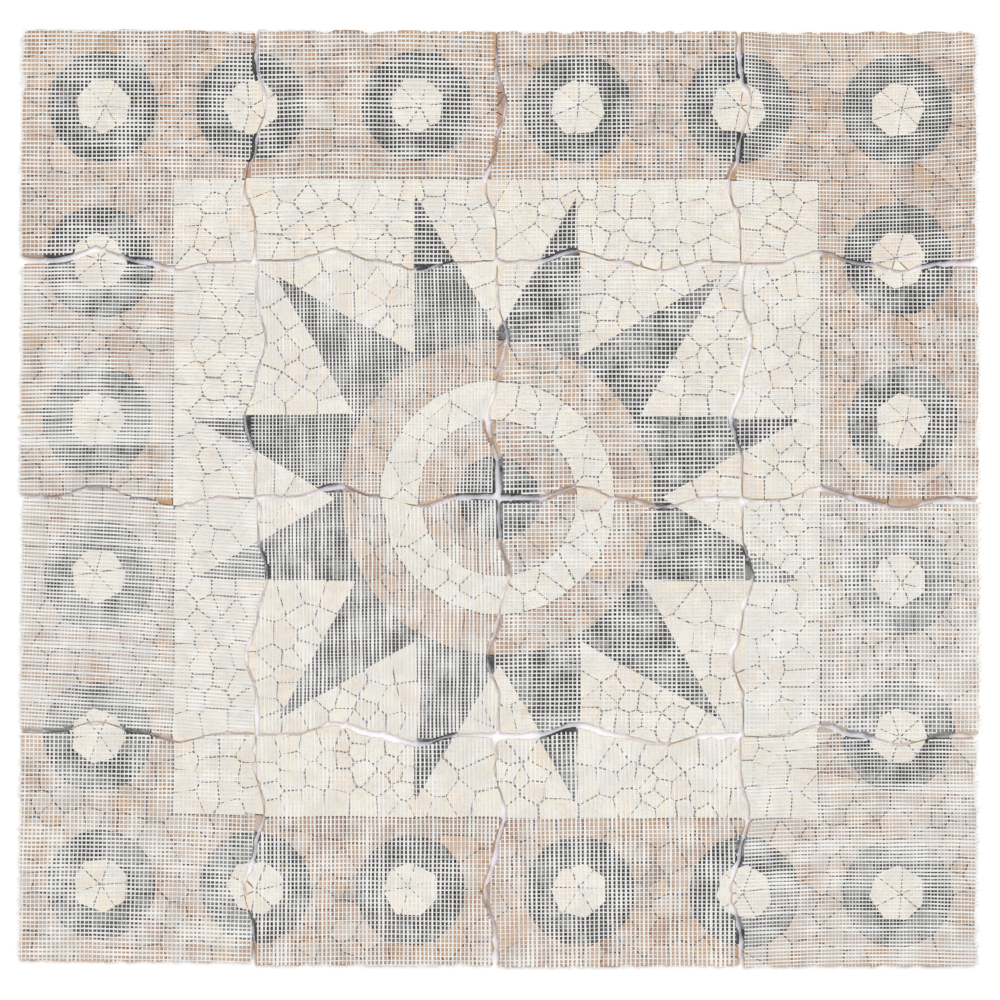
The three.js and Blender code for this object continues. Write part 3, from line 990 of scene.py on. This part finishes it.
def swelling(spot, seed):
    """How much glue has widened a thread at a spot."""
    there = Vector((spot.x * SWELLING_FINENESS, spot.y * SWELLING_FINENESS, seed + SWELLING_SLICE))
    return 1.0 + SWELLING * noise.noise(there)


def thread_mesh(runs_of_spots, height, lay):
    """Flat yarns along the runs, lying at one height on the backs of the chips."""
    curve = bpy.data.curves.new("yarn", "CURVE")
    curve.dimensions = "3D"
    curve.twist_mode = "Z_UP"
    curve.bevel_depth = 0.5
    curve.bevel_resolution = 0
    curve.use_fill_caps = True
    for run in runs_of_spots:
        spline = curve.splines.new("POLY")
        spline.points.add(len(run) - 1)
        for point, (spot, width) in zip(spline.points, run):
            point.co = (spot.x, spot.y, 0, 1)
            point.radius = width
    strung = bpy.data.objects.new("yarn", curve)
    made = bmesh.new()
    data = strung.to_mesh()
    made.from_mesh(data)
    strung.to_mesh_clear()
    bpy.data.objects.remove(strung)
    bpy.data.curves.remove(curve)
    for vert in made.verts:
        vert.co.z *= THREAD_THICKNESS / USUAL_THREAD_WIDTH
    for edge in made.edges:
        edge.smooth = max(abs(vert.co.z) for vert in edge.verts) > 1e-6
    made.transform(lay @ Matrix.Translation((0, 0, height)))
    for face in made.faces:
        face.smooth = True
    return made


net_glass = bpy.data.materials.new("net_glass")
net_glass.use_nodes = True
tree = net_glass.node_tree
shader = tree.nodes["Principled BSDF"]
place = add(tree, "TexCoord").outputs["Object"]
soak = add(tree, "TexNoise", {"Vector": place, "Scale": 45.0, "Detail": 3.0}).outputs["Fac"]
yarn = blend(tree, between(tree, soak, 0.35, 0.65), srgb(232, 231, 228), srgb(245, 244, 241))
stains = add(tree, "TexNoise", {"Vector": place, "Scale": 14.0, "Detail": 4.0, "Roughness": 0.6})
stain = between(tree, stains.outputs["Fac"], 0.66, 0.74, 0.0, 0.5)
stained = blend(tree, stain, yarn, srgb(206, 168, 120))
tree.links.new(stained, shader.inputs["Base Color"])
fibres = add(tree, "TexNoise", {"Vector": place, "Scale": 1800.0, "Detail": 2.0}).outputs["Fac"]
bump = add(tree, "Bump", {"Height": fibres, "Strength": 0.4, "Distance": 0.0003})
tree.links.new(bump.outputs["Normal"], shader.inputs["Normal"])
shader.inputs["Roughness"].default_value = 0.55
shader.inputs["Alpha"].default_value = 0.9

NET_SEED = 5000
for row in ROWS:
    for column in COLUMNS:
        rng = random.Random(NET_SEED + 100 * row + column)
        lay = lay_of(row, column)
        level_share, upright_share = WIDTH_SHARES[row][column]
        heights = (UNDER_HEIGHT, OVER_HEIGHT)
        if level_share > upright_share:
            heights = (OVER_HEIGHT, UNDER_HEIGHT)
        net = thread_mesh(threads(row, column, False, rng), heights[0], lay)
        uprights = thread_mesh(threads(row, column, True, rng), heights[1], lay)
        scratch = bpy.data.meshes.new("scratch")
        uprights.to_mesh(scratch)
        net.from_mesh(scratch)
        uprights.free()
        bpy.data.meshes.remove(scratch)
        name = mat_name(row, column)
        finished("net_threads_" + name, net, net_glass, ["net_" + name])

# The floor, the light and the camera: a white floor with a very slightly lilac painted shade under the
# panel, in even studio light, seen from straight above.
FLOOR_HALF = 6.0
FLOOR_DROP = 0.0003
FLOOR_WHITE = srgb(255, 255, 255)
# Painted shade: the lilac under the panel stands in for the bluish shade seen in its seams. Outside it the
# floor is plain white.
PAINTED_SHADE_LILAC = srgb(249, 247, 255)
PAINTED_SHADE_HALF = (0.596, 0.583)
floor_mesh = bmesh.new()
bmesh.ops.create_grid(floor_mesh, x_segments=1, y_segments=1, size=FLOOR_HALF)
bmesh.ops.translate(floor_mesh, verts=floor_mesh.verts[:], vec=(0, 0, -FLOOR_DROP))
floor_data = bpy.data.meshes.new("floor")
floor_mesh.to_mesh(floor_data)
floor_mesh.free()
floor = bpy.data.objects.new("floor", floor_data)
bpy.context.scene.collection.objects.link(floor)
floor_paint = bpy.data.materials.new("floor_paint")
floor_paint.use_nodes = True
tree = floor_paint.node_tree
place = add(tree, "SeparateXYZ", {"Vector": add(tree, "TexCoord").outputs["Object"]}).outputs
across = calculate(tree, "DIVIDE", calculate(tree, "ABSOLUTE", place["X"]), PAINTED_SHADE_HALF[0])
upright = calculate(tree, "DIVIDE", calculate(tree, "ABSOLUTE", place["Y"]), PAINTED_SHADE_HALF[1])
# The painted lilac shade covers the floor under the panel and fades out at its edge.
under = between(tree, calculate(tree, "MAXIMUM", across, upright), 0.99, 1.0, 1.0, 0.0)
paint = blend(tree, under, FLOOR_WHITE, PAINTED_SHADE_LILAC)
tree.links.new(paint, tree.nodes["Principled BSDF"].inputs["Base Color"])
tree.nodes["Principled BSDF"].inputs["Roughness"].default_value = 0.8
floor_data.materials.append(floor_paint)

# Suns by name, turn in degrees and strength
SUNS = (("key", (-19, 15, 0), 1.6), ("fill", (8, -12, 0), 0.5))
SUN_SPREAD = 35
SKY_STRENGTH = 0.45
scene = bpy.context.scene
scene.view_settings.view_transform = "Standard"
world = bpy.data.worlds.new("studio")
world.use_nodes = True
sky = world.node_tree.nodes["Background"].inputs
sky["Color"].default_value = (1.0, 1.0, 1.0, 1.0)
sky["Strength"].default_value = SKY_STRENGTH
scene.world = world
for name, turn, strength in SUNS:
    light = bpy.data.lights.new(name, "SUN")
    light.energy = strength
    light.angle = math.radians(SUN_SPREAD)
    lamp = bpy.data.objects.new(name, light)
    lamp.rotation_euler = [math.radians(a) for a in turn]
    scene.collection.objects.link(lamp)

PICTURE_WIDTH = 1.2552
CAMERA_HEIGHT = 4.0
CAMERA_OFF_MIDDLE = (0.0007, -0.0025)
SENSOR_WIDTH = 36.0
camera_data = bpy.data.cameras.new("camera")
camera_data.sensor_width = SENSOR_WIDTH
camera_data.lens = SENSOR_WIDTH * (CAMERA_HEIGHT - STONE_THICKNESS) / PICTURE_WIDTH
camera = bpy.data.objects.new("camera", camera_data)
camera.location = (*CAMERA_OFF_MIDDLE, CAMERA_HEIGHT)
scene.collection.objects.link(camera)
scene.camera = camera
